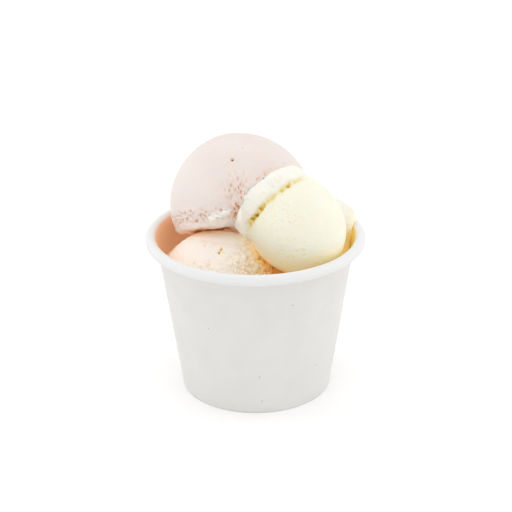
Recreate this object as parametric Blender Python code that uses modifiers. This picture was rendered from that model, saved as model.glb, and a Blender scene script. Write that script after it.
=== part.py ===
"""Gelato cup: four scoops of gelato in a plain white paper cup.

Units are metres and +Z is up. The origin is the centre of the ring that the cup
stands on. The cup is a tapered wall with a rolled rim and a folded foot, which
clamps the skirt of a raised base disc. In it, a scoop pressed down into the cup
carries the others. Pieces that touch keep a small gap to each other.
"""
import bpy
from math import asin, cos, degrees, exp, radians, sin, sqrt
from mathutils import Matrix, Vector, noise

# ---- driving dimensions -------------------------------------------------------
CUP_HEIGHT = 0.0673
RIM_RADIUS = 0.045          # outside of the rolled rim
ROLL_RADIUS = 0.00225       # half the thickness of the roll
WALL_TOP_RADIUS = 0.0403    # outside of the wall just under the roll
FOOT_RADIUS = 0.0308        # outside of the wall where it stands
BOARD = 0.0005              # thickness of the paper board
GAP = 0.0003                # clearance between pieces that touch

BASE_TOP = 0.0060           # upper face of the base disc
SKIRT_BOTTOM = 0.0011       # the base's skirt ends this far above the table
FOLD_HEIGHT = 0.0048        # the wall's folded edge inside the skirt
ROLL_TOP = 90               # degrees about the roll's centre, from straight out
ROLL_END = -145             # where the roll curls back to the wall's outside
LIP_END = 165               # where it runs down into the wall's inside
ROLL_POINTS = 11
CUP_STEPS = 60

BED_TOP = 0.0535            # gelato packed into the cup reaches this height
BED_RADIUS = 1.1 * WALL_TOP_RADIUS      # before it is trimmed to the cup
BED_SWELL = 0.0006          # height of the soft rings in its top
BED_SWELL_REACH = 0.008     # distance over which they rise and fall
BED_RINGS = 5
BED_STEPS = 24

SCOOP_STEPS = 36
DOME_POINTS = 15            # points on the outline of a dome
ARC_POINTS = 5              # points on each short arc of an outline
COLLAR_ARC = 70             # a collar bulges out this far above and below, degrees
COLLAR_TO_CUT = 1.08        # depth of the cut face below a collar's top, in heights
CUT_ROUNDING = 0.5          # width of the cut's sloping edge, in half heights
ALL_ROUND = (-3.0, -2.0)    # "fades" of a collar that keeps its bulge all round

# ---- derived ------------------------------------------------------------------
ROLL_CENTRE = (RIM_RADIUS - ROLL_RADIUS, CUP_HEIGHT - ROLL_RADIUS)
WALL_TOP = CUP_HEIGHT - 2 * ROLL_RADIUS
TAPER = (WALL_TOP_RADIUS - FOOT_RADIUS) / WALL_TOP


def wall_radius(height, inset=0.0):
    """Radius of the tapered wall at a height, moved in from its outside."""
    return FOOT_RADIUS + TAPER * height - inset


def arc(centre, radius, start, end, count):
    """Points of an arc about a centre (r, z), angles in degrees from +r."""
    angles = [radians(start + (end - start) * i / (count - 1)) for i in range(count)]
    return [(centre[0] + radius * cos(a), centre[1] + radius * sin(a)) for a in angles]


# ---- scene helpers ------------------------------------------------------------
def clear_scene():
    for obj in list(bpy.data.objects):
        bpy.data.objects.remove(obj)


def new_collection(name):
    group = bpy.data.collections.new(name)
    bpy.context.scene.collection.children.link(group)
    return group


def material(name, colour, roughness):
    mat = bpy.data.materials.new(name)
    mat.use_nodes = True
    shader = mat.node_tree.nodes["Principled BSDF"]
    shader.inputs["Base Color"].default_value = (*colour, 1.0)
    shader.inputs["Roughness"].default_value = roughness
    shader.inputs["Metallic"].default_value = 0.0
    return mat


def turned(name, profile, steps, group, closed=False):
    """A turned solid: a profile of (r, z) points, outer side top to bottom."""
    mesh = bpy.data.meshes.new(name)
    edges = [(i, i + 1) for i in range(len(profile) - 1)]
    if closed:
        edges.append((len(profile) - 1, 0))
    mesh.from_pydata([(r, 0.0, z) for r, z in profile], edges, [])
    obj = bpy.data.objects.new(name, mesh)
    group.objects.link(obj)
    screw = obj.modifiers.new("turn", "SCREW")
    screw.axis = "Z"
    screw.steps = steps
    screw.render_steps = steps
    screw.use_merge_vertices = True
    screw.merge_threshold = 0.00001
    screw.use_normal_calculate = False
    screw.use_smooth_shade = True
    return obj


def baked(obj, group):
    """Replace an object by the mesh that its modifiers make."""
    bpy.context.view_layer.update()
    graph = bpy.context.evaluated_depsgraph_get()
    mesh = bpy.data.meshes.new_from_object(obj.evaluated_get(graph))
    name = obj.name
    matrix = obj.matrix_world.copy()
    bpy.data.objects.remove(obj)
    solid = bpy.data.objects.new(name, mesh)
    solid.matrix_world = matrix
    group.objects.link(solid)
    return solid


def as_cutter(obj):
    obj.hide_render = True
    obj.display_type = "WIRE"


def boolean(obj, operation, other):
    mod = obj.modifiers.new(operation.lower() + "_" + other.name, "BOOLEAN")
    mod.operation = operation
    mod.solver = "EXACT"
    mod.object = other


def grown_copy(obj, group):
    """A cutter like obj with every face moved out by the gap."""
    cutter = bpy.data.objects.new("grown_" + obj.name, obj.data)
    cutter.matrix_world = obj.matrix_world
    group.objects.link(cutter)
    grow = cutter.modifiers.new("grow", "DISPLACE")
    grow.direction = "NORMAL"
    grow.mid_level = 0.0
    grow.strength = GAP
    as_cutter(cutter)
    return cutter


# ---- cup ----------------------------------------------------------------------
def wall_profile():
    """Closed outline of the wall: rolled rim, taper, and the fold in the foot."""
    roll = arc(ROLL_CENTRE, ROLL_RADIUS, ROLL_TOP, ROLL_END, ROLL_POINTS)
    lip = arc(ROLL_CENTRE, ROLL_RADIUS, LIP_END, ROLL_TOP, ARC_POINTS)[:-1]
    slot_outer = BOARD
    slot_inner = slot_outer + 2 * GAP + BOARD
    fold_inner = slot_inner + BOARD
    inner_top = lip[0][1] - ROLL_RADIUS / 2
    outer_top = WALL_TOP - ROLL_RADIUS / 2
    return roll + [
        (wall_radius(outer_top), outer_top),
        (wall_radius(BOARD), BOARD),
        (wall_radius(0, BOARD / 2), 0.0),
        (wall_radius(0, fold_inner - BOARD / 2), 0.0),
        (wall_radius(BOARD, fold_inner), BOARD),
        (wall_radius(FOLD_HEIGHT, fold_inner), FOLD_HEIGHT),
        (wall_radius(FOLD_HEIGHT, slot_inner), FOLD_HEIGHT),
        (wall_radius(SKIRT_BOTTOM - GAP, slot_inner), SKIRT_BOTTOM - GAP),
        (wall_radius(SKIRT_BOTTOM - GAP, slot_outer), SKIRT_BOTTOM - GAP),
        (wall_radius(inner_top, BOARD), inner_top),
    ] + lip


def base_profile():
    """Outline of the base: a disc whose edge turns down into the foot's slot."""
    outer = BOARD + GAP
    inner = outer + BOARD
    return [
        (0.0, BASE_TOP),
        (wall_radius(BASE_TOP, outer + BOARD / 2), BASE_TOP),
        (wall_radius(BASE_TOP - BOARD / 2, outer), BASE_TOP - BOARD / 2),
        (wall_radius(SKIRT_BOTTOM, outer), SKIRT_BOTTOM),
        (wall_radius(SKIRT_BOTTOM, inner), SKIRT_BOTTOM),
        (wall_radius(BASE_TOP - BOARD, inner), BASE_TOP - BOARD),
        (0.0, BASE_TOP - BOARD),
    ]


def cavity_profile():
    """Outline of the room that gelato can fill: in the cup, and over its rim."""
    far, top = 1.5 * RIM_RADIUS, 2 * CUP_HEIGHT     # beyond all the gelato
    over_rim = CUP_HEIGHT + GAP
    inside = BOARD + GAP
    neck = arc(ROLL_CENTRE, ROLL_RADIUS + GAP, ROLL_TOP, LIP_END, ARC_POINTS)
    neck_bottom = neck[-1][1] - ROLL_RADIUS / 2
    floor = BASE_TOP + GAP
    return [(0.0, top), (far, top), (far, over_rim)] + neck + [
        (wall_radius(neck_bottom, inside), neck_bottom),
        (wall_radius(floor, inside), floor),
        (0.0, floor),
    ]


# ---- gelato -------------------------------------------------------------------
def cut_height(form):
    """Height of the flat face that the scoop was cut off at, below its centre."""
    collar_top = form["brim"] - form["groove"]["width"]
    return collar_top - COLLAR_TO_CUT * form["collar"]["height"]


def scoop_profile(form):
    """Outline of a scoop about its axis: dome, groove, collar and cut face."""
    radius, length = form["radius"], form["length"]
    brim = form["brim"]                    # height at which the dome ends
    groove, collar = form["groove"], form["collar"]
    dome_end = 90 + degrees(asin(-brim / length))
    turns = [radians(dome_end * i / (DOME_POINTS - 1)) for i in range(DOME_POINTS)]
    dome = [(radius * sin(t), length * cos(t)) for t in turns]
    valley = (dome[-1][0] - groove["depth"], brim - groove["width"] / 2)
    bead = collar["height"] / 2            # half the height of the collar
    middle = brim - groove["width"] - bead
    beads = []
    for i in range(ARC_POINTS):
        t = radians(COLLAR_ARC * (1 - 2 * i / (ARC_POINTS - 1)))
        lean = collar["lean"] * i / (ARC_POINTS - 1)
        bulge = collar["bulge"] * (1 - cos(t))
        beads.append((collar["radius"] - lean - bulge, middle + bead * sin(t)))
    cut = cut_height(form)
    edge = (beads[-1][0] - CUT_ROUNDING * bead, cut)
    return dome + [valley] + beads + [edge, (0.0, cut)]


def smooth_step(low, high, value):
    t = min(max((value - low) / (high - low), 0.0), 1.0)
    return t * t * (3 - 2 * t)


def dome_radius(form, height):
    """Radius of the plain dome, carried on below its brim, at a height."""
    return form["radius"] * sqrt(max(1 - (height / form["length"]) ** 2, 0.0))


def uneven(obj, form):
    """Fade the collar out on one side, press the dents in and add soft lumps."""
    to_local = obj.matrix_world.inverted()
    towards = (to_local.to_3x3() @ Vector(form["collar"]["towards"])).to_2d().normalized()
    low, high = form["collar"]["fades"]
    cut = cut_height(form)
    for vertex in obj.data.vertices:
        here = vertex.co.copy()
        across = here.to_2d()
        if here.z < form["brim"] and across.length > form["groove"]["depth"]:
            plain = dome_radius(form, here.z)
            if here.z < cut + GAP:
                plain *= across.length / form["collar"]["radius"]
            kept = smooth_step(low, high, across.normalized().dot(towards))
            here.x, here.y = across.normalized() * (plain + kept * (across.length - plain))
        lumps = noise.noise(here / form["lump_size"] + form["seed"])
        here *= 1 + form["lump_height"] * lumps / form["radius"]
        for place, reach, depth in form["dents"]:
            away = (here - to_local @ Vector(place)).length / reach
            here -= here.normalized() * depth * exp(-away * away)
        vertex.co = here


def scoop(name, form, group):
    """A scoop of gelato, standing on its cut face along its own axis."""
    obj = turned(name, scoop_profile(form), SCOOP_STEPS, group)
    obj = baked(obj, group)
    turn = Vector(form["axis"]).to_track_quat("Z", "Y").to_matrix().to_4x4()
    obj.matrix_world = Matrix.Translation(form["centre"]) @ turn
    uneven(obj, form)
    return obj


PINK = {
    "centre": (-0.0058, 0.0110, 0.0750),
    "axis": (-0.08, 0.445, 0.892),
    "radius": 0.0293, "length": 0.0292, "brim": -0.0030,
    "groove": {"depth": 0.0003, "width": 0.0016},
    "collar": {"radius": 0.0287, "height": 0.0048, "bulge": 0.0008, "lean": 0.0016,
               "towards": (-0.5, -1.0, 0.0), "fades": ALL_ROUND},
    "lump_size": 0.016, "lump_height": 0.0006, "seed": Vector((3.1, 0.0, 0.0)),
    "dents": [((-0.0005, -0.0170, 0.0770), 0.0095, 0.0070)],
}
YELLOW = {
    "centre": (0.0166, -0.0090, 0.0739),
    "axis": (0.605, -0.605, -0.518),
    "radius": 0.0187, "length": 0.0219, "brim": -0.0084,
    "groove": {"depth": 0.0017, "width": 0.0018},
    "collar": {"radius": 0.0190, "height": 0.0072, "bulge": 0.0026, "lean": 0.0,
               "towards": (-0.75, -0.75, 0.2), "fades": (-0.72, 0.12)},
    "lump_size": 0.014, "lump_height": 0.0005, "seed": Vector((7.4, 2.0, 0.0)),
    "dents": [],
}
PEACH = {
    "centre": (-0.0157, -0.0100, 0.0468),
    "axis": (0.0, 0.10, 1.0),
    "radius": 0.0233, "length": 0.0234, "brim": -0.0100,
    "groove": {"depth": 0.0003, "width": 0.0016},
    "collar": {"radius": 0.0210, "height": 0.0040, "bulge": 0.0020, "lean": 0.0,
               "towards": (1.0, 0.0, 0.0), "fades": ALL_ROUND},
    "lump_size": 0.014, "lump_height": 0.0006, "seed": Vector((0.3, 5.0, 0.0)),
    "dents": [],
}
CREAM = {
    "centre": (0.0256, 0.0120, 0.0553),
    "axis": (0.45, 0.25, 0.85),
    "radius": 0.0212, "length": 0.0212, "brim": -0.0080,
    "groove": {"depth": 0.0003, "width": 0.0016},
    "collar": {"radius": 0.0190, "height": 0.0040, "bulge": 0.0020, "lean": 0.0,
               "towards": (1.0, 0.0, 0.0), "fades": ALL_ROUND},
    "lump_size": 0.012, "lump_height": 0.0006, "seed": Vector((1.7, 8.0, 0.0)),
    "dents": [((0.0335, -0.0040, 0.0610), 0.0105, 0.0140)],
}


def packed_bed(group):
    """Gelato pressed flat into the cup, wider than the cup and trimmed to it."""
    rings = [BED_RADIUS * i / BED_RINGS for i in range(BED_RINGS + 1)]
    top = [(r, BED_TOP + BED_SWELL * cos(r / BED_SWELL_REACH)) for r in rings]
    profile = top + [(BED_RADIUS, 0.0), (0.0, 0.0)]
    obj = baked(turned("packed_bed", profile, BED_STEPS, group), group)
    as_cutter(obj)
    return obj


def build():
    clear_scene()
    parts = new_collection("gelato_cup")
    cutters = new_collection("cutters")

    board = material("white_board", (0.86, 0.86, 0.85), 0.55)
    wall = turned("cup_wall", wall_profile(), CUP_STEPS, parts, closed=True)
    base = turned("cup_base", base_profile(), CUP_STEPS, parts)
    for piece in (wall, base):
        piece.data.materials.append(board)

    cavity = turned("cavity", cavity_profile(), CUP_STEPS, cutters)
    as_cutter(cavity)
    bed = packed_bed(cutters)

    colours = {
        "scoop_pink": (0.84, 0.76, 0.70), "scoop_yellow": (0.86, 0.85, 0.68),
        "scoop_peach": (0.88, 0.77, 0.66), "scoop_cream": (0.87, 0.86, 0.72),
    }
    forms = {
        "scoop_pink": PINK, "scoop_yellow": YELLOW,
        "scoop_peach": PEACH, "scoop_cream": CREAM,
    }
    scoops = {}
    grown = {"packed_bed": grown_copy(bed, cutters)}
    for name, form in forms.items():
        scoops[name] = scoop(name, form, parts)
        scoops[name].data.materials.append(material(name, colours[name], 0.5))
        grown[name] = grown_copy(scoops[name], cutters)

    # The scoop in front at the left also fills the cup below the others.
    boolean(scoops["scoop_peach"], "UNION", bed)
    # Each scoop gives way to those that are pressed into it.
    gives_way = {
        "scoop_yellow": [],
        "scoop_pink": ["scoop_yellow"],
        "scoop_peach": ["scoop_pink", "scoop_yellow"],
        "scoop_cream": ["scoop_pink", "scoop_yellow", "scoop_peach", "packed_bed"],
    }
    for name, others in gives_way.items():
        boolean(scoops[name], "INTERSECT", cavity)
        for other in others:
            boolean(scoops[name], "DIFFERENCE", grown[other])


build()
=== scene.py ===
"""Looks of the gelato cup: fine gelato surfaces, paper cup, floor, light and camera.

Units are metres and +Z is up. Each piece made here has its points in the frame's
own coordinates, with its object at the origin.
"""
from math import asin, atan2, cos, degrees, exp, pi, radians, sin, sqrt

import bpy
from mathutils import Matrix, Vector, noise
from mathutils.bvhtree import BVHTree


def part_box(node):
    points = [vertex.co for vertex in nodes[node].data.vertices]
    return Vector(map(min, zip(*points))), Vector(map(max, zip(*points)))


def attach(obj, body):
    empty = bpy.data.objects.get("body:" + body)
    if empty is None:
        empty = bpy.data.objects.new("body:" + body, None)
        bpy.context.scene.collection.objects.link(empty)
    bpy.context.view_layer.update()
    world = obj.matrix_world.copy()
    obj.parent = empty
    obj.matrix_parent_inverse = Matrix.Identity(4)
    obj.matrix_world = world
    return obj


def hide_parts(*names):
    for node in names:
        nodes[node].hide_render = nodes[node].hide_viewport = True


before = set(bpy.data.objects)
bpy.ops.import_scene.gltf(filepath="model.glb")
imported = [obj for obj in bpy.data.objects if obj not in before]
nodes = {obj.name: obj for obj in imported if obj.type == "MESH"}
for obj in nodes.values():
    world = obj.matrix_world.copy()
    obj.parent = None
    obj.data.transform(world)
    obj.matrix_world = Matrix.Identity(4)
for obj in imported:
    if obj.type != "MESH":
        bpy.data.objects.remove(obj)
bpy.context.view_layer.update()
scene = bpy.context.scene

# ---- dimensions of the cup, as in the model -------------------------------------
wall_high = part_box("cup_wall")[1]
RIM_RADIUS = wall_high[0]
CUP_HEIGHT = wall_high[2]
ROLL_RADIUS = 0.00225
WALL_TOP_RADIUS = 0.0403
FOOT_RADIUS = 0.0308
BOARD = 0.0005
GAP = 0.0003
FOLD_HEIGHT = 0.0048
SKIRT_BOTTOM = 0.0011
BASE_TOP = 0.0060
BED_TOP = 0.0535
ROLL_CENTRE = (RIM_RADIUS - ROLL_RADIUS, CUP_HEIGHT - ROLL_RADIUS)
WALL_TOP = CUP_HEIGHT - 2 * ROLL_RADIUS
TAPER = (WALL_TOP_RADIUS - FOOT_RADIUS) / WALL_TOP


def wall_radius(height, inset=0.0):
    return FOOT_RADIUS + TAPER * height - inset


def smooth_step(low, high, value):
    t = min(max((value - low) / (high - low), 0.0), 1.0)
    return t * t * (3 - 2 * t)


def arc(centre, radius, start, end, count):
    angles = [radians(start + (end - start) * i / (count - 1)) for i in range(count)]
    return [(centre[0] + radius * cos(a), centre[1] + radius * sin(a)) for a in angles]


def near(point, place, reach):
    """1 at a place, falling to 0 over a reach."""
    away = (point - place).length / reach
    return exp(-away * away)


def along(point, start, end, reach):
    """1 on a straight stretch between two places, falling to 0 over a reach."""
    run = end - start
    t = min(max((point - start).dot(run) / run.length_squared, 0.0), 1.0)
    return near(point, start + run * t, reach)


def way(right, up):
    """Direction of a mark from its scoop's centre: degrees right of the front, and up."""
    turn, lift = radians(right), radians(up)
    return Vector((sin(turn) * cos(lift), -cos(turn) * cos(lift), sin(lift)))


def pits(point, size, share=0.5, radius=0.42):
    """Round pits scattered in cells of a size: 1 in the middle of a pit, else 0."""
    cell = point / size
    away, centres = noise.voronoi(cell)
    if noise.cell(centres[0] * 7.31) > share:
        return 0.0
    return max(0.0, 1.0 - (away[0] / radius) ** 2)


def ragged(point, size, octaves=4):
    return noise.fractal(point / size, 0.7, 2.1, octaves)


# ---- shapes of the scoops -----------------------------------------------------------
# As in the model, with more points. The collars of the pink and yellow scoops are a
# little flatter here, because the ragged surface that is added below fills them out.
ALL_ROUND = (-3.0, -2.0)
COLLAR_ARC = 70
COLLAR_TO_CUT = 1.08
FORMS = {
    "scoop_pink": {
        "centre": (-0.0058, 0.0110, 0.0750), "axis": (-0.08, 0.445, 0.892),
        "radius": 0.0293, "length": 0.0292, "brim": -0.0030,
        "groove": {"depth": 0.0001, "width": 0.0016},
        "collar": {"radius": 0.0290, "height": 0.0048, "bulge": 0.0003, "lean": 0.0021,
                   "towards": (-0.5, -1.0, 0.0), "fades": ALL_ROUND},
        "lump_size": 0.016, "lump_height": 0.0006, "seed": Vector((3.1, 0.0, 0.0)),
        "dents": [((-0.0005, -0.0170, 0.0770), 0.0095, 0.0070)],
        "steps": 400, "rows": 150},
    "scoop_yellow": {
        "centre": (0.0166, -0.0090, 0.0739), "axis": (0.605, -0.605, -0.518),
        "radius": 0.0187, "length": 0.0219, "brim": -0.0084,
        "groove": {"depth": 0.0003, "width": 0.0018},
        "collar": {"radius": 0.0190, "height": 0.0072, "bulge": 0.0021, "lean": 0.0,
                   "towards": (-0.75, -0.75, 0.2), "fades": (-0.72, 0.12)},
        "lump_size": 0.014, "lump_height": 0.0005, "seed": Vector((7.4, 2.0, 0.0)),
        "dents": [], "steps": 320, "rows": 130},
    "scoop_peach": {
        "centre": (-0.0157, -0.0100, 0.0468), "axis": (0.0, 0.10, 1.0),
        "radius": 0.0233, "length": 0.0234, "brim": -0.0100,
        "groove": {"depth": 0.0003, "width": 0.0016},
        "collar": {"radius": 0.0210, "height": 0.0040, "bulge": 0.0020, "lean": 0.0,
                   "towards": (1.0, 0.0, 0.0), "fades": ALL_ROUND},
        "lump_size": 0.014, "lump_height": 0.0006, "seed": Vector((0.3, 5.0, 0.0)),
        "dents": [], "steps": 300, "rows": 150},
    "scoop_cream": {
        "centre": (0.0256, 0.0120, 0.0553), "axis": (0.45, 0.25, 0.85),
        "radius": 0.0212, "length": 0.0212, "brim": -0.0080,
        "groove": {"depth": 0.0003, "width": 0.0016},
        "collar": {"radius": 0.0190, "height": 0.0040, "bulge": 0.0020, "lean": 0.0,
                   "towards": (1.0, 0.0, 0.0), "fades": ALL_ROUND},
        "lump_size": 0.012, "lump_height": 0.0006, "seed": Vector((1.7, 8.0, 0.0)),
        "dents": [((0.0335, -0.0040, 0.0610), 0.0105, 0.0140)],
        "steps": 220, "rows": 100},
}


def cut_height(form):
    top = form["brim"] - form["groove"]["width"]
    return top - COLLAR_TO_CUT * form["collar"]["height"]


def fine_profile(form):
    """The scoop's outline about its axis, with many points: (r, z)."""
    radius, length, brim = form["radius"], form["length"], form["brim"]
    groove, collar = form["groove"], form["collar"]
    end = radians(90) + asin(-brim / length)
    rows = form["rows"]
    points = [(radius * sin(end * i / rows), length * cos(end * i / rows))
              for i in range(rows + 1)]
    bead = collar["height"] / 2
    middle = brim - groove["width"] - bead
    beads = []
    bead_rows = rows // 4
    for i in range(bead_rows + 1):
        part = i / bead_rows
        t = radians(COLLAR_ARC * (1 - 2 * part))
        out = collar["radius"] - collar["lean"] * part - collar["bulge"] * (1 - cos(t))
        beads.append((out, middle + bead * sin(t)))
    edge_r = points[-1][0]
    dip_rows = rows // 10
    for i in range(1, dip_rows):
        part = i / dip_rows
        r = edge_r + (beads[0][0] - edge_r) * part - groove["depth"] * sin(pi * part)
        points.append((r, brim + (beads[0][1] - brim) * part))
    points += beads
    cut = cut_height(form)
    face_edge = points[-1][0] - bead / 2
    points.append((face_edge, cut))
    face_rows = rows // 5
    points += [(face_edge * (1 - i / face_rows), cut) for i in range(1, face_rows)]
    return points, cut


CROWDING = 0.5              # how much closer the columns stand at the front


def lathe(points, steps, last_z, front=0.0):
    """Rows of points turned about Z, closer together round an angle, with closed ends."""
    inner = points[1:]
    verts = [Vector((0.0, 0.0, points[0][1]))]
    even = [2 * pi * k / steps for k in range(steps)]
    turns = [front + a - CROWDING * sin(a) for a in even]
    for r, z in inner:
        for a in turns:
            verts.append(Vector((r * cos(a), r * sin(a), z)))
    verts.append(Vector((0.0, 0.0, last_z)))
    faces = [(0, 1 + k, 1 + (k + 1) % steps) for k in range(steps)]
    for row in range(len(inner) - 1):
        a, b = 1 + row * steps, 1 + (row + 1) * steps
        faces += [(a + k, b + k, b + (k + 1) % steps, a + (k + 1) % steps)
                  for k in range(steps)]
    a, last = 1 + (len(inner) - 1) * steps, len(verts) - 1
    faces += [(a + k, last, a + (k + 1) % steps) for k in range(steps)]
    return verts, faces


def collar_kept(form, across, towards):
    low, high = form["collar"]["fades"]
    return smooth_step(low, high, across.normalized().dot(towards))


def soft_form(form, verts, placed):
    """Fade the collar, press in the dents and add soft lumps. Changes verts."""
    to_local = placed.inverted()
    towards = (to_local.to_3x3() @ Vector(form["collar"]["towards"])).to_2d().normalized()
    cut = cut_height(form)
    dents = [(to_local @ Vector(place), reach, depth) for place, reach, depth in form["dents"]]
    for i, here in enumerate(verts):
        across = here.to_2d()
        if here.z < form["brim"] and across.length > form["groove"]["depth"]:
            plain = form["radius"] * sqrt(max(1 - (here.z / form["length"]) ** 2, 0.0))
            if here.z < cut + GAP:
                plain *= across.length / form["collar"]["radius"]
            kept = collar_kept(form, across, towards)
            here.x, here.y = across.normalized() * (plain + kept * (across.length - plain))
        lumps = noise.noise(here / form["lump_size"] + form["seed"])
        here *= 1 + form["lump_height"] * lumps / form["radius"]
        for place, reach, depth in dents:
            away = (here - place).length / reach
            here -= here.normalized() * depth * exp(-away * away)
        verts[i] = here


def cavity_limit(height):
    """How far from the cup's axis gelato can reach at a height."""
    reach = ROLL_RADIUS + GAP
    over = height - ROLL_CENTRE[1]
    if over > reach:
        return ROLL_CENTRE[0] + over - reach
    if over > 0:
        return ROLL_CENTRE[0] - sqrt(reach ** 2 - over ** 2)
    neck = smooth_step(WALL_TOP - ROLL_RADIUS, ROLL_CENTRE[1], height)
    wall = wall_radius(min(height, WALL_TOP), BOARD + GAP)
    return wall + neck * (ROLL_CENTRE[0] - ROLL_RADIUS - GAP - wall)


def kept_in_cup(point):
    """The point, moved in where the cup is in its way: gently above the rim."""
    across = point.to_2d()
    limit = cavity_limit(point.z)
    soft = 0.00001 + 0.0020 * smooth_step(0.0650, 0.0700, point.z)
    if across.length > limit - soft:
        kept = limit - soft * exp((limit - soft - across.length) / soft)
        across = across.normalized() * kept
    floor = BASE_TOP + GAP
    return Vector((across.x, across.y, max(point.z, floor)))


# ---- small features of each scoop ---------------------------------------------------
# Each function takes a point p, the same point q in the scoop's own axes, the direction
# "seen" of the point from the scoop's centre, and its distance to each other scoop. It
# gives how far the surface is pushed in there, and how warm it looks: painted shade in
# its pits, grooves and crevices, or, below zero, a painted highlight.
def scraped(p, q):
    """Soft lines left by the scoop, which run from its top to its cut, and a few holes, which get
    painted shade.
    """
    across = q.to_2d()
    turn = atan2(across.y, across.x)
    lines = noise.noise(Vector((9 * cos(turn), 9 * sin(turn), q.z / 0.030)))
    lines *= smooth_step(0.004, 0.016, across.length)
    holes = pits(p + Vector((0.3, 0.1, 0.2)), 0.0052, 0.20, 0.10)
    return 0.00012 * lines + 0.00060 * holes, 0.05 * max(lines, 0.0) + 0.9 * holes


STREAKS_TOP, STREAKS_FOOT = way(-5, 38), way(2, 14)     # on the pink scoop
RIDGE_LOW, RIDGE_HIGH = way(-24, 9), way(-11, 16)
DRAWN_BACK = way(-2, 11)
BIG_HOLE, SMALL_HOLE = way(-12, 59), way(5, 72)


def pink_detail(p, q, seen, beside):
    z = q.z + 0.0009 * noise.noise(p / 0.007) + 0.0004 * noise.noise(p / 0.0025)
    # a torn band of pits round the scoop, with painted shade in the pits
    band = smooth_step(-0.0010, -0.0030, z) * smooth_step(-0.0082, -0.0066, z)
    torn = pits(p, 0.0023, 0.5, 0.36) + 0.8 * pits(p + Vector((1, 2, 3)), 0.0014, 0.45, 0.40)
    push = band * (0.00085 * torn + 0.00028 * ragged(p, 0.002))
    warm = band * (0.10 + 0.80 * min(torn, 1.0))
    lip = smooth_step(-0.0070, -0.0084, z)
    push += lip * (0.00080 * noise.noise(p / 0.0048) + 0.00035 * ragged(p, 0.0022))
    # painted shade on the lip's underside, and a painted highlight along the lip's edge
    under = smooth_step(-0.0094, -0.0097, q.z)
    warm += 0.5 * under - 0.35 * lip * (1 - under)
    # rough streaks run down the front beside the yellow scoop, with painted shade in their dashes and
    # streaks
    area = along(seen, STREAKS_TOP, STREAKS_FOOT, 0.16)
    column = Vector((p.x / 0.00115, p.y / 0.0022, p.z / 0.0026))
    dashes = pits(column, 1.0, 0.62, 0.45)
    streak = max(0.0, noise.noise(Vector((p.x / 0.0010, p.y / 0.004, p.z / 0.0070))))
    push += area * (0.00090 * dashes + 0.00080 * streak + 0.00020 * ragged(p, 0.0013))
    warm += area * (0.12 + 0.95 * dashes + 0.35 * streak)
    # a pale ridge runs up the lip's right end, and the surface draws back beyond it: the ridge gets a
    # painted highlight and the drawn-back part painted shade
    ridge = along(seen, RIDGE_LOW, RIDGE_HIGH, 0.048)
    draw = near(seen, DRAWN_BACK, 0.13)
    push += 0.0014 * draw - 0.0011 * ridge
    warm += 0.70 * draw - 1.1 * ridge
    warm = min(warm, 1.15)
    # broken marks where the yellow scoop's collar presses in, with painted shade in them
    edge = exp(-beside["scoop_yellow"] / 0.0016) * smooth_step(0.088, 0.092, p.z)
    marks = pits(p, 0.0018, 0.75, 0.48)
    push += edge * 0.0010 * marks
    warm += edge * 2.2 * marks
    warm += seam(p, beside["scoop_peach"])
    # two holes in the top, with painted shade in them
    hole = near(seen, BIG_HOLE, 0.020)
    small = near(seen, SMALL_HOLE, 0.012)
    soft, tint = scraped(p, q)
    behind = smooth_step(0.0040, 0.0120, p.y)
    push += behind * soft + 0.0001 * (1 - behind) * noise.noise(q / 0.006)
    warm += behind * tint
    push += 0.0013 * hole + 0.0004 * small + 0.00004 * ragged(p, 0.0016)
    warm += 2.0 * hole + 0.5 * small
    return push, warm


def seam(p, apart):
    """How much painted shade makes a broken brown line where the pink scoop rests on the peach one."""
    broken = 1.0 + 0.9 * noise.noise(p / 0.0034)
    return 1.5 * exp(-(apart / 0.0017) ** 2) * max(broken, 0.2)


def crevice(p, apart, reach, height):
    """How much painted warm shade gelato gets where it lies low, close beside another scoop."""
    return exp(-(apart / reach) ** 2) * smooth_step(height, height - 0.0080, p.z)


OPEN_GROOVE = (             # stretches of the yellow groove that are torn open: degrees
    (-18, 15, 0.9),         # round the collar from its thickest side, and how far open
    (-36, -31, 0.8),
    (-63, -53, 0.6),
    (-84, -74, 0.3))
GROOVE_SOFT = 5             # degrees over which such a stretch closes up
PITTED, LOW_PITS = way(-22, 30), way(-6, -11)


def groove_opening(turn):
    """How far open the yellow scoop's groove is, at an angle round its collar."""
    widest = 0.0
    for start, end, depth in OPEN_GROOVE:
        beyond = max(start - turn, turn - end, 0.0) / GROOVE_SOFT
        widest = max(widest, depth * exp(-beyond * beyond))
    return widest


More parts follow.
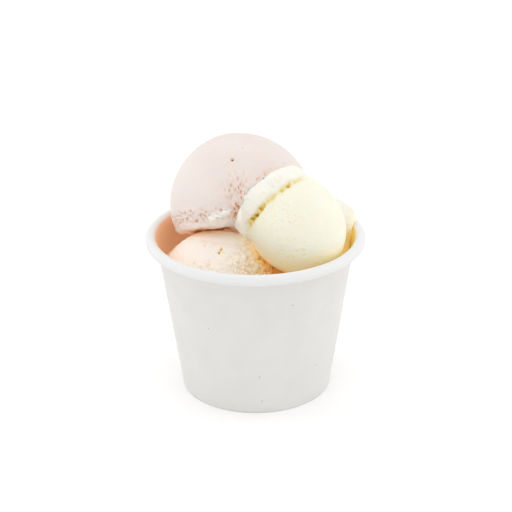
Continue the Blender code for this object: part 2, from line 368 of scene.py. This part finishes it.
def yellow_detail(p, q, seen, beside):
    form = FORMS["scoop_yellow"]
    across = q.to_2d()
    kept = collar_kept(form, across, YELLOW_TOWARDS) if across.length > 0 else 0.0
    turn = degrees(atan2(YELLOW_TOWARDS.cross(across), YELLOW_TOWARDS.dot(across)))
    # the groove, torn open in places, with painted shade in it and in a band around it
    valley = form["brim"] - form["groove"]["width"] / 2 + 0.0005 * noise.noise(p / 0.0035)
    above = smooth_step(0.0720, 0.0750, p.z)        # lower down, it closes up
    groove = exp(-((q.z - valley) / 0.00095) ** 2) * kept * above
    filled = exp(-((q.z - valley + 0.0006) / 0.0019) ** 2) * kept
    broken = (0.12 + groove_opening(turn)) * (1.0 + 0.7 * noise.noise(p / 0.0016))
    broken = min(broken, 1.2)
    dashes = pits(p, 0.0016, 0.7, 0.5)
    push = groove * (0.0001 + 0.0015 * broken + 0.0006 * dashes * broken)
    push -= filled * (0.0005 + 0.0010 * (1 - above))
    groove_shade = exp(-((q.z - valley) / 0.0019) ** 2) * kept * above
    warm = groove * (0.15 + 0.80 * broken + 0.80 * dashes * broken) + 0.30 * groove_shade * broken
    # pits, with painted shade in them
    area = near(seen, PITTED, 0.38)
    holes = pits(p, 0.0014, 0.45)
    push += area * 0.00045 * holes + 0.00007 * ragged(p, 0.0016)
    warm += area * 0.22 * holes
    low = near(seen, LOW_PITS, 0.40) * pits(p, 0.0020, 0.25)
    push += 0.0004 * low
    warm += 0.3 * low
    soft, tint = scraped(p, q)
    behind = smooth_step(-0.0100, -0.0020, p.y)
    push += behind * soft
    warm += behind * tint
    # painted highlight: the collar is painted paler, and the low side beside the peach scoop gets
    # painted shade
    collar = smooth_step(valley, valley - 0.0012, q.z) * kept
    push += collar * (0.00070 * noise.noise(p / 0.0048) + 0.00025 * ragged(p, 0.002))
    warm -= 0.55 * collar
    warm += 1.6 * crevice(p, beside["scoop_peach"], 0.0070, 0.0630)
    return push, warm


NICKS = (                   # on the peach scoop: ends, reach and depth of each mark
    (way(6, 62), way(8, 64), 0.020, 0.0011),
    (way(12, 66), way(15, 68), 0.018, 0.0010),
    (way(16, 62), way(16, 63), 0.016, 0.0005),
    (way(-35, 70), way(-35, 71), 0.030, 0.0004),
    (way(-11, 47), way(-11, 48), 0.039, 0.0004))


def peach_detail(p, q, seen, beside):
    push = warm = 0.0
    across = p.x - 0.25 * (p.y + 0.02)
    # a torn area at the right, with painted shade in it; the right side beside the yellow scoop gets
    # painted warm shade
    area = smooth_step(-0.0150, -0.0030, across) * smooth_step(0.072, 0.063, p.z)
    torn = ragged(Vector((p.x * 0.6, p.y, p.z * 1.2)), 0.0020)
    holes = pits(p, 0.0021, 0.75, 0.5) + 0.8 * pits(p + Vector((5, 1, 2)), 0.0012, 0.6, 0.5)
    push += area * (0.00110 * torn + 0.00055 * holes)
    warm += area * (0.08 + 0.30 * holes + 0.32 * max(torn, 0.0))
    warm += 0.42 * smooth_step(-0.006, 0.003, across)
    # marks low down and nicks, pressed in, with painted shade in them by their depth
    low = smooth_step(0.0668, 0.0630, p.z) * (1 - area)
    marks = pits(p, 0.0018, 0.35)
    push += low * (0.00045 * marks + 0.00015 * ragged(p, 0.0018))
    warm += low * 0.25 * marks
    for start, end, reach, depth in NICKS:
        nick = along(seen, start, end, reach)
        push += depth * nick
        warm += 1400 * depth * nick
    warm += seam(p, beside["scoop_pink"])
    warm += 0.50 * crevice(p, beside["scoop_yellow"], 0.0036, 0.0700)
    push += 0.00005 * ragged(p, 0.0014)
    return push, warm


FULLEST = way(80, 54)       # the cream scoop swells towards its upper right


def cream_detail(p, q, seen, beside):
    holes = pits(p, 0.0016, 0.3)
    # painted shade: pits, and the low front of the scoop inside the cup, are painted warm
    low_shade = smooth_step(0.0665, 0.0625, p.z)
    fuller = 0.0006 * near(seen, FULLEST, 0.42)
    push = 0.00025 * holes + 0.00022 * ragged(p, 0.004) - fuller
    return push, 0.15 * holes + 0.7 * low_shade * smooth_step(0.016, 0.004, p.y)


def bed_detail(p, q, seen, beside):
    grains = ragged(p, 0.004)
    holes = pits(p, 0.0024, 0.6)
    # painted shade: the bed, deep in the cup, is warm all over, more in its pits and beside the yellow
    # scoop
    warm = 0.40 + 0.4 * holes + 1.1 * crevice(p, beside["scoop_yellow"], 0.0090, 0.0700)
    return 0.0007 * grains + 0.0008 * holes, warm


DETAILS = {"scoop_pink": pink_detail, "scoop_yellow": yellow_detail,
           "scoop_peach": peach_detail, "scoop_cream": cream_detail}
# how much painted warm shade each piece gets where it touches another scoop
CONTACT_SHADES = {"scoop_pink": 0.55, "scoop_yellow": 0.20, "scoop_peach": 0.55,
          "scoop_cream": 0.55, "bed": 0.0}
PLACES = {}
for name, form in FORMS.items():
    turn = Vector(form["axis"]).to_track_quat("Z", "Y").to_matrix().to_4x4()
    PLACES[name] = Matrix.Translation(form["centre"]) @ turn
YELLOW_TOWARDS = (PLACES["scoop_yellow"].inverted().to_3x3()
                  @ Vector(FORMS["scoop_yellow"]["collar"]["towards"])).to_2d().normalized()
SWELL = 0.0006              # gelato bulges this much beside what presses into it


def tree_of(name):
    mesh = nodes[name].data
    return BVHTree.FromPolygons([v.co for v in mesh.vertices],
                                [tuple(f.vertices) for f in mesh.polygons])


TREES = {name: tree_of(name) for name in FORMS}
WALL_TREE = tree_of("cup_wall")


def new_piece(name, verts, faces, warm, glow, material):
    mesh = bpy.data.meshes.new(name)
    mesh.from_pydata(verts, [], faces)
    mesh.update()
    for layer_name, values in (("warm", warm), ("glow", glow)):
        layer = mesh.attributes.new(layer_name, "FLOAT", "POINT")
        layer.data.foreach_set("value", values)
    mesh.shade_smooth()
    mesh.materials.append(material)
    obj = bpy.data.objects.new(name, mesh)
    scene.collection.objects.link(obj)
    return obj


def normals_of(verts, faces):
    mesh = bpy.data.meshes.new("normals")
    mesh.from_pydata(verts, [], faces)
    mesh.update()
    found = [v.normal.copy() for v in mesh.vertices]
    bpy.data.meshes.remove(mesh)
    return found


def overhang(point, trees):
    """How close gelato hangs over a point: 1 for touching, falling to 0. It sets the painted glow
    under an overhang.
    """
    above = 1.0
    for tree in trees:
        hit = tree.ray_cast(point, Vector((0.0, 0.0, 1.0)))[3]
        above = min(above, 1.0 if hit is None else hit)
    return exp(-above / 0.0060)


def with_detail(verts, faces, detail, placed, others, contact_shade):
    """Push the small features in and trim to the cup.

    Says how warm each point looks, which is painted shade beside other scoops, beside the wall
    and in its marks, or a painted highlight below zero, and how strongly it glows, which is
    painted light standing in for light through the gelato.
    The last argument is how much painted warm shade it gets where it touches another scoop.
    """
    normals = normals_of(verts, faces)
    to_local = placed.inverted()
    centre = placed.translation
    fine, warm, glow = [], [], []
    for point, normal in zip(verts, normals):
        beside = {name: tree.find_nearest(point)[3] for name, tree in others.items()}
        contact = min(beside.values(), default=1.0)
        push, tint = detail(point, to_local @ point, (point - centre).normalized(), beside)
        moved = point - normal * (push - SWELL * exp(-contact / 0.0015))
        # painted shade where it touches another scoop and beside the wall; painted glow low down in
        # crevices, beside the wall and under overhangs
        touching = exp(-contact / 0.0020)
        to_wall = WALL_TREE.find_nearest(point)[3]
        lower = 0.3 + 0.7 * smooth_step(0.0800, 0.0720, point.z)
        tint += contact_shade * touching * lower + 0.45 * exp(-to_wall / 0.0018)
        painted_glow = min(touching + 0.6 * exp(-to_wall / 0.0055), 1.0)
        painted_glow *= smooth_step(0.0720, 0.0660, point.z)
        glow.append(max(painted_glow, overhang(point, others.values())))
        fine.append(kept_in_cup(moved))
        warm.append(min(max(tint, -1.0), 2.0))
    return fine, warm, glow


def scoop_mesh(name):
    form, placed = FORMS[name], PLACES[name]
    points, cut = fine_profile(form)
    ahead = placed.inverted().to_3x3() @ Vector((0.0, -1.0, 0.4))
    verts, faces = lathe(points, form["steps"], cut, atan2(ahead.y, ahead.x))
    soft_form(form, verts, placed)
    verts = [placed @ v for v in verts]
    others = {other: TREES[other] for other in FORMS if other != name}
    fine, warm, glow = with_detail(verts, faces, DETAILS[name], placed, others, CONTACT_SHADES[name])
    return fine, faces, warm, glow


# painted light: the least glow given all over the bed of gelato
BED_GLOW = 0.30


def bed_mesh():
    """Gelato packed in the cup: a torn top, and its side down to the base."""
    rows, steps = 90, 200
    radius = wall_radius(BED_TOP, BOARD + GAP)
    floor = BASE_TOP + GAP
    points = [(radius * i / rows, BED_TOP) for i in range(rows + 1)]
    points += [(wall_radius(z, BOARD + GAP), z) for z in (0.05, 0.04, 0.03, 0.02, floor)]
    verts, faces = lathe(points, steps, floor)
    others = {other: TREES[other] for other in FORMS if other != "scoop_peach"}
    fine, warm, glow = with_detail(verts, faces, bed_detail, Matrix(), others, CONTACT_SHADES["bed"])
    return fine, faces, warm, [max(value, BED_GLOW) for value in glow]


# ---- materials ----------------------------------------------------------------------
class Graph:
    """A material's nodes, made and linked by short calls."""

    def __init__(self, name):
        self.material = bpy.data.materials.new(name)
        self.material.use_nodes = True
        self.tree = self.material.node_tree
        self.shader = self.tree.nodes["Principled BSDF"]
        self.place = self.add("ShaderNodeTexCoord").outputs["Object"]

    def add(self, kind, inputs=None, **settings):
        node = self.tree.nodes.new(kind)
        for key, value in settings.items():
            setattr(node, key, value)
        for key, value in (inputs or {}).items():
            self.feed(node.inputs[key], value)
        return node

    def feed(self, socket, value):
        if isinstance(value, bpy.types.NodeSocket):
            self.tree.links.new(value, socket)
        else:
            socket.default_value = value

    def math(self, operation, *values, clamp=False):
        node = self.add("ShaderNodeMath", operation=operation, use_clamp=clamp)
        for socket, value in zip(node.inputs, values):
            self.feed(socket, value)
        return node.outputs[0]

    def noise(self, scale, detail=4.0, roughness=0.5):
        node = self.add("ShaderNodeTexNoise", {"Vector": self.place, "Scale": scale,
                                               "Detail": detail, "Roughness": roughness})
        return node.outputs["Fac"]

    def spread(self, value, low, high, to_low=0.0, to_high=1.0):
        node = self.add("ShaderNodeMapRange", {"Value": value, "From Min": low, "From Max": high,
                                               "To Min": to_low, "To Max": to_high})
        return node.outputs["Result"]

    def mix(self, share, first, second):
        node = self.add("ShaderNodeMix", data_type="RGBA")
        self.feed(node.inputs["Factor"], share)
        self.feed(node.inputs[6], first)
        self.feed(node.inputs[7], second)
        return node.outputs[2]

    def bump(self, height, strength, distance, onto=None):
        inputs = {"Height": height, "Strength": strength, "Distance": distance}
        if onto is not None:
            inputs["Normal"] = onto
        return self.add("ShaderNodeBump", inputs).outputs["Normal"]

    def axis(self, name):
        split = self.add("ShaderNodeSeparateXYZ", {"Vector": self.place})
        return split.outputs[name]


def rgb(red, green, blue):
    """Linear colour from display values, 0 to 255."""
    def linear(value):
        value /= 255
        return value / 12.92 if value < 0.04045 else ((value + 0.055) / 1.055) ** 2.4
    return (linear(red), linear(green), linear(blue), 1.0)


# strength of the painted glow on the gelato
GLOW = 0.30


def gelato(name, base, pale, warm, deep, bounce_tint=None):
    g = Graph(name)
    heat = g.add("ShaderNodeAttribute", attribute_name="warm").outputs["Fac"]
    glow = g.add("ShaderNodeAttribute", attribute_name="glow").outputs["Fac"]
    cloud = g.spread(g.noise(70.0, 5.0), 0.25, 0.75)
    colour = g.mix(cloud, base, pale)
    # painted reflected light: lower down the colour goes towards a brighter tint, standing in for
    # light bounced between the scoop and the cup's rim
    if bounce_tint:
        tint, low, high = bounce_tint
        fall = g.spread(g.axis("Z"), high, low)
        colour = g.mix(fall, colour, tint)
    # painted shade and highlight: below zero the warm attribute paints a highlight, above zero it
    # paints warm shade, then deep shade in crevices and pits
    colour = g.mix(g.math("MULTIPLY", heat, -1.0, clamp=True), colour, rgb(250, 246, 240))
    colour = g.mix(g.math("MULTIPLY", heat, 0.8, clamp=True), colour, warm)
    colour = g.mix(g.spread(heat, 0.9, 1.7), colour, deep)
    g.feed(g.shader.inputs["Base Color"], colour)
    # painted light: the glow attribute makes the gelato glow under what hangs over it and in its
    # crevices, standing in for light let through the gelato
    g.feed(g.shader.inputs["Emission Color"], colour)
    g.feed(g.shader.inputs["Emission Strength"], g.math("MULTIPLY", glow, GLOW))
    g.feed(g.shader.inputs["Roughness"], g.spread(g.noise(500.0), 0.3, 0.7, 0.42, 0.58))
    g.shader.inputs["Subsurface Weight"].default_value = 0.6
    g.shader.inputs["Subsurface Radius"].default_value = (1.0, 0.62, 0.38)
    g.shader.inputs["Subsurface Scale"].default_value = 0.0035
    g.shader.inputs["Specular IOR Level"].default_value = 0.35
    ice = g.bump(g.noise(1500.0, 5.0, 0.6), 0.16, 0.0004)
    g.feed(g.shader.inputs["Normal"], g.bump(g.noise(330.0, 3.0), 0.16, 0.0010, ice))
    return g.material


SPECKS = (                  # in the board: degrees right of the front, and height
    (-31, 0.039), (46, 0.018), (2, 0.018), (4, 0.006), (22, 0.051))


WALL_GLOW = 0.05            # painted light: how strongly the painted shade on the inner wall glows


def board():
    g = Graph("board")
    fibre = g.noise(2600.0, 6.0, 0.65)
    cloud = g.noise(90.0, 3.0)
    colour = g.mix(g.spread(cloud, 0.3, 0.7), rgb(225, 223, 219), rgb(229, 227, 224))
    colour = g.mix(g.spread(fibre, 0.66, 0.80), colour, rgb(210, 207, 200))
    # painted highlight: the rolled rim is painted lighter
    rim = g.spread(g.axis("Z"), 0.0632, 0.0652)
    colour = g.mix(rim, colour, rgb(235, 236, 235))
    for right, height in SPECKS:
        away = g.add("ShaderNodeVectorMath", operation="DISTANCE")
        g.feed(away.inputs[0], g.place)
        away.inputs[1].default_value = way(right, 0) * wall_radius(height) + Vector((0, 0, height))
        dot = g.spread(away.outputs["Value"], 0.00042, 0.00018)
        colour = g.mix(g.math("MULTIPLY", dot, 0.6), colour, rgb(150, 142, 132))
    # painted shade: the inner wall just under the rim, beside the gelato, is painted orange at the
    # left and ochre at the right, and glows a little as painted light
    heat = g.add("ShaderNodeAttribute", attribute_name="warm").outputs["Fac"]
    side = g.spread(g.axis("X"), -0.030, 0.030)
    wall_shade_colour = g.mix(side, rgb(252, 202, 160), rgb(244, 214, 118))
    colour = g.mix(g.math("MULTIPLY", heat, 1.0, clamp=True), colour, wall_shade_colour)
    g.feed(g.shader.inputs["Base Color"], colour)
    g.feed(g.shader.inputs["Emission Color"], wall_shade_colour)
    g.feed(g.shader.inputs["Emission Strength"], g.math("MULTIPLY", heat, WALL_GLOW))
    g.feed(g.shader.inputs["Roughness"], g.spread(fibre, 0.3, 0.7, 0.50, 0.66))
    g.shader.inputs["Specular IOR Level"].default_value = 0.35
    grain = g.bump(fibre, 0.10, 0.0002)
    g.feed(g.shader.inputs["Normal"], g.bump(cloud, 0.05, 0.0010, grain))
    return g.material


# ---- cup ------------------------------------------------------------------------
WALL_STEPS = 256
LAP_STEP = 0.00040          # the board's cut edge stands proud at the seam
LAP_EDGE = 0.0015           # radians, half the width of that step
LAP_REACH = 0.25            # radians from it to where the overlap has died away
BACK = pi / 2


def wall_points():
    roll = arc(ROLL_CENTRE, ROLL_RADIUS, 90, -145, 40)
    lip = arc(ROLL_CENTRE, ROLL_RADIUS, 165, 90, 16)[:-1]
    slot_inner = 2 * BOARD + 2 * GAP
    fold_inner = slot_inner + BOARD
    inner_top = lip[0][1] - ROLL_RADIUS / 2
    top = WALL_TOP - ROLL_RADIUS / 2
    count = 60
    outer = [(wall_radius(top - (top - BOARD) * i / count), top - (top - BOARD) * i / count)
             for i in range(count + 1)]
    under = SKIRT_BOTTOM - GAP
    foot = [(wall_radius(0, BOARD / 2), 0.0), (wall_radius(0, fold_inner - BOARD / 2), 0.0),
            (wall_radius(BOARD, fold_inner), BOARD),
            (wall_radius(FOLD_HEIGHT, fold_inner), FOLD_HEIGHT),
            (wall_radius(FOLD_HEIGHT, slot_inner), FOLD_HEIGHT),
            (wall_radius(under, slot_inner), under), (wall_radius(under, BOARD), under)]
    inner = [(wall_radius(under + (inner_top - under) * i / count, BOARD),
              under + (inner_top - under) * i / count) for i in range(1, count + 1)]
    return roll + outer + foot + inner + lip


def build_wall(material):
    points = wall_points()
    count = len(points)
    verts, faces, warm = [], [], []
    even = [2 * pi * (k + 0.5) / WALL_STEPS for k in range(WALL_STEPS)]
    turns = sorted(even + [BACK - LAP_EDGE, BACK + LAP_EDGE])
    for a in turns:
        lap = LAP_STEP * (BACK < a) * smooth_step(BACK + LAP_REACH, BACK + LAP_EDGE, a)
        for r, z in points:
            outside = r > wall_radius(z, BOARD / 4) and BOARD < z < WALL_TOP
            out = r + (lap if outside else 0.0)
            verts.append((out * cos(a), out * sin(a), z))
            # painted shade on the inner wall just under the rim, at the back left and the right, where
            # it lies beside the gelato
            inside = r < ROLL_CENTRE[0] and z > BASE_TOP and not outside
            wall_shade = 0.0
            if inside:
                height = smooth_step(0.0674, 0.0655, z)
                edge = 0.5 + 0.5 * noise.noise(Vector((3 * cos(a), 3 * sin(a), z * 60)))
                left = smooth_step(0.1, 0.7, cos(a - radians(150)))
                right = smooth_step(0.3, 0.8, cos(a - radians(5)))
                wall_shade = height * max(left, right) * (0.75 + 0.5 * edge)
            warm.append(min(wall_shade, 1.0))
    for k in range(len(turns)):
        a, b = k * count, ((k + 1) % len(turns)) * count
        faces += [(a + i, a + (i + 1) % count, b + (i + 1) % count, b + i)
                  for i in range(count)]
    return new_piece("paper_wall", verts, faces, warm, warm, material)


# ---- put together -------------------------------------------------------------------
paper = board()
wall = build_wall(paper)
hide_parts("cup_wall")
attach(wall, "root")
base = nodes["cup_base"]
base.data.materials.clear()
base.data.materials.append(paper)

# each gelato: its own colour and a paler tone at random, then the colours of painted warm shade and
# painted deep shade; the yellow also gets a painted reflected tint low down
MATERIALS = {
    "scoop_pink": gelato("pink_gelato", rgb(232, 220, 214), rgb(237, 228, 222),
                         rgb(238, 188, 152), rgb(158, 96, 62)),
    "scoop_yellow": gelato("yellow_gelato", rgb(244, 242, 221), rgb(246, 244, 230),
                           rgb(248, 224, 120), rgb(210, 166, 48),
                           (rgb(255, 249, 208), 0.056, 0.072)),
    "scoop_peach": gelato("peach_gelato", rgb(247, 235, 225), rgb(250, 241, 233),
                          rgb(253, 213, 138), rgb(204, 134, 48)),
    "scoop_cream": gelato("cream_gelato", rgb(238, 235, 218), rgb(241, 239, 228),
                          rgb(246, 214, 110), rgb(206, 140, 40)),
}
for name in FORMS:
    verts, faces, warm, glow = scoop_mesh(name)
    if name == "scoop_peach":
        more, more_faces, more_warm, more_glow = bed_mesh()
        offset = len(verts)
        verts += more
        faces += [tuple(i + offset for i in face) for face in more_faces]
        warm += more_warm
        glow += more_glow
    piece = new_piece(name.replace("scoop", "gelato"), verts, faces, warm, glow,
                      MATERIALS[name])
    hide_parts(name)
    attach(piece, "root")


# ---- floor, light and camera --------------------------------------------------------
def add_floor():
    mesh = bpy.data.meshes.new("floor")
    half = 3.0
    mesh.from_pydata([(-half, -half, 0), (half, -half, 0), (half, half, 0), (-half, half, 0)],
                     [], [(0, 1, 2, 3)])
    g = Graph("floor")
    g.feed(g.shader.inputs["Base Color"], g.mix(g.noise(30.0), rgb(249, 249, 249), rgb(252, 252, 252)))
    g.shader.inputs["Roughness"].default_value = 0.9
    g.shader.inputs["Emission Color"].default_value = (1.0, 1.0, 1.0, 1.0)
    g.shader.inputs["Emission Strength"].default_value = 0.09
    g.shader.inputs["Specular IOR Level"].default_value = 0.1
    mesh.materials.append(g.material)
    obj = bpy.data.objects.new("floor", mesh)
    scene.collection.objects.link(obj)


def add_light(name, place, size, power, colour=(1.0, 1.0, 1.0)):
    data = bpy.data.lights.new(name, "AREA")
    data.shape = "SQUARE"
    data.size = size
    data.energy = power
    data.color = colour
    obj = bpy.data.objects.new(name, data)
    obj.location = place
    aim = Vector((0.0, 0.0, 0.055)) - Vector(place)
    obj.rotation_euler = aim.to_track_quat("-Z", "Y").to_euler()
    scene.collection.objects.link(obj)


def add_world():
    world = bpy.data.worlds.new("studio")
    world.use_nodes = True
    world.node_tree.nodes["Background"].inputs["Color"].default_value = (1, 1, 1, 1)
    world.node_tree.nodes["Background"].inputs["Strength"].default_value = 0.80
    scene.world = world


def add_camera():
    target = Vector((0.00018, 0.0, 0.0564))
    distance, elevation, roll = 0.720, radians(24.1), radians(-0.47)
    data = bpy.data.cameras.new("camera")
    data.lens = 123.3
    data.sensor_width = 36.0
    data.dof.use_dof = False
    camera = bpy.data.objects.new("camera", data)
    scene.collection.objects.link(camera)
    place = target + distance * Vector((0.0, -cos(elevation), sin(elevation)))
    look = (target - place).to_track_quat("-Z", "Y").to_matrix().to_4x4()
    camera.matrix_world = Matrix.Translation(place) @ look @ Matrix.Rotation(roll, 4, "Z")
    scene.camera = camera


add_floor()
add_world()
add_light("top", (-0.10, 0.45, 0.95), 0.9, 0.8)
add_light("front_top", (0.0, -0.30, 1.05), 0.9, 2.2)
add_light("left", (-0.95, 0.30, 0.30), 0.8, 1.6)
add_light("right", (0.95, 0.25, 0.30), 0.8, 1.7)
add_camera()
scene.view_settings.view_transform = "Standard"


def plain(box):
    return [[float(v) for v in corner] for corner in box]
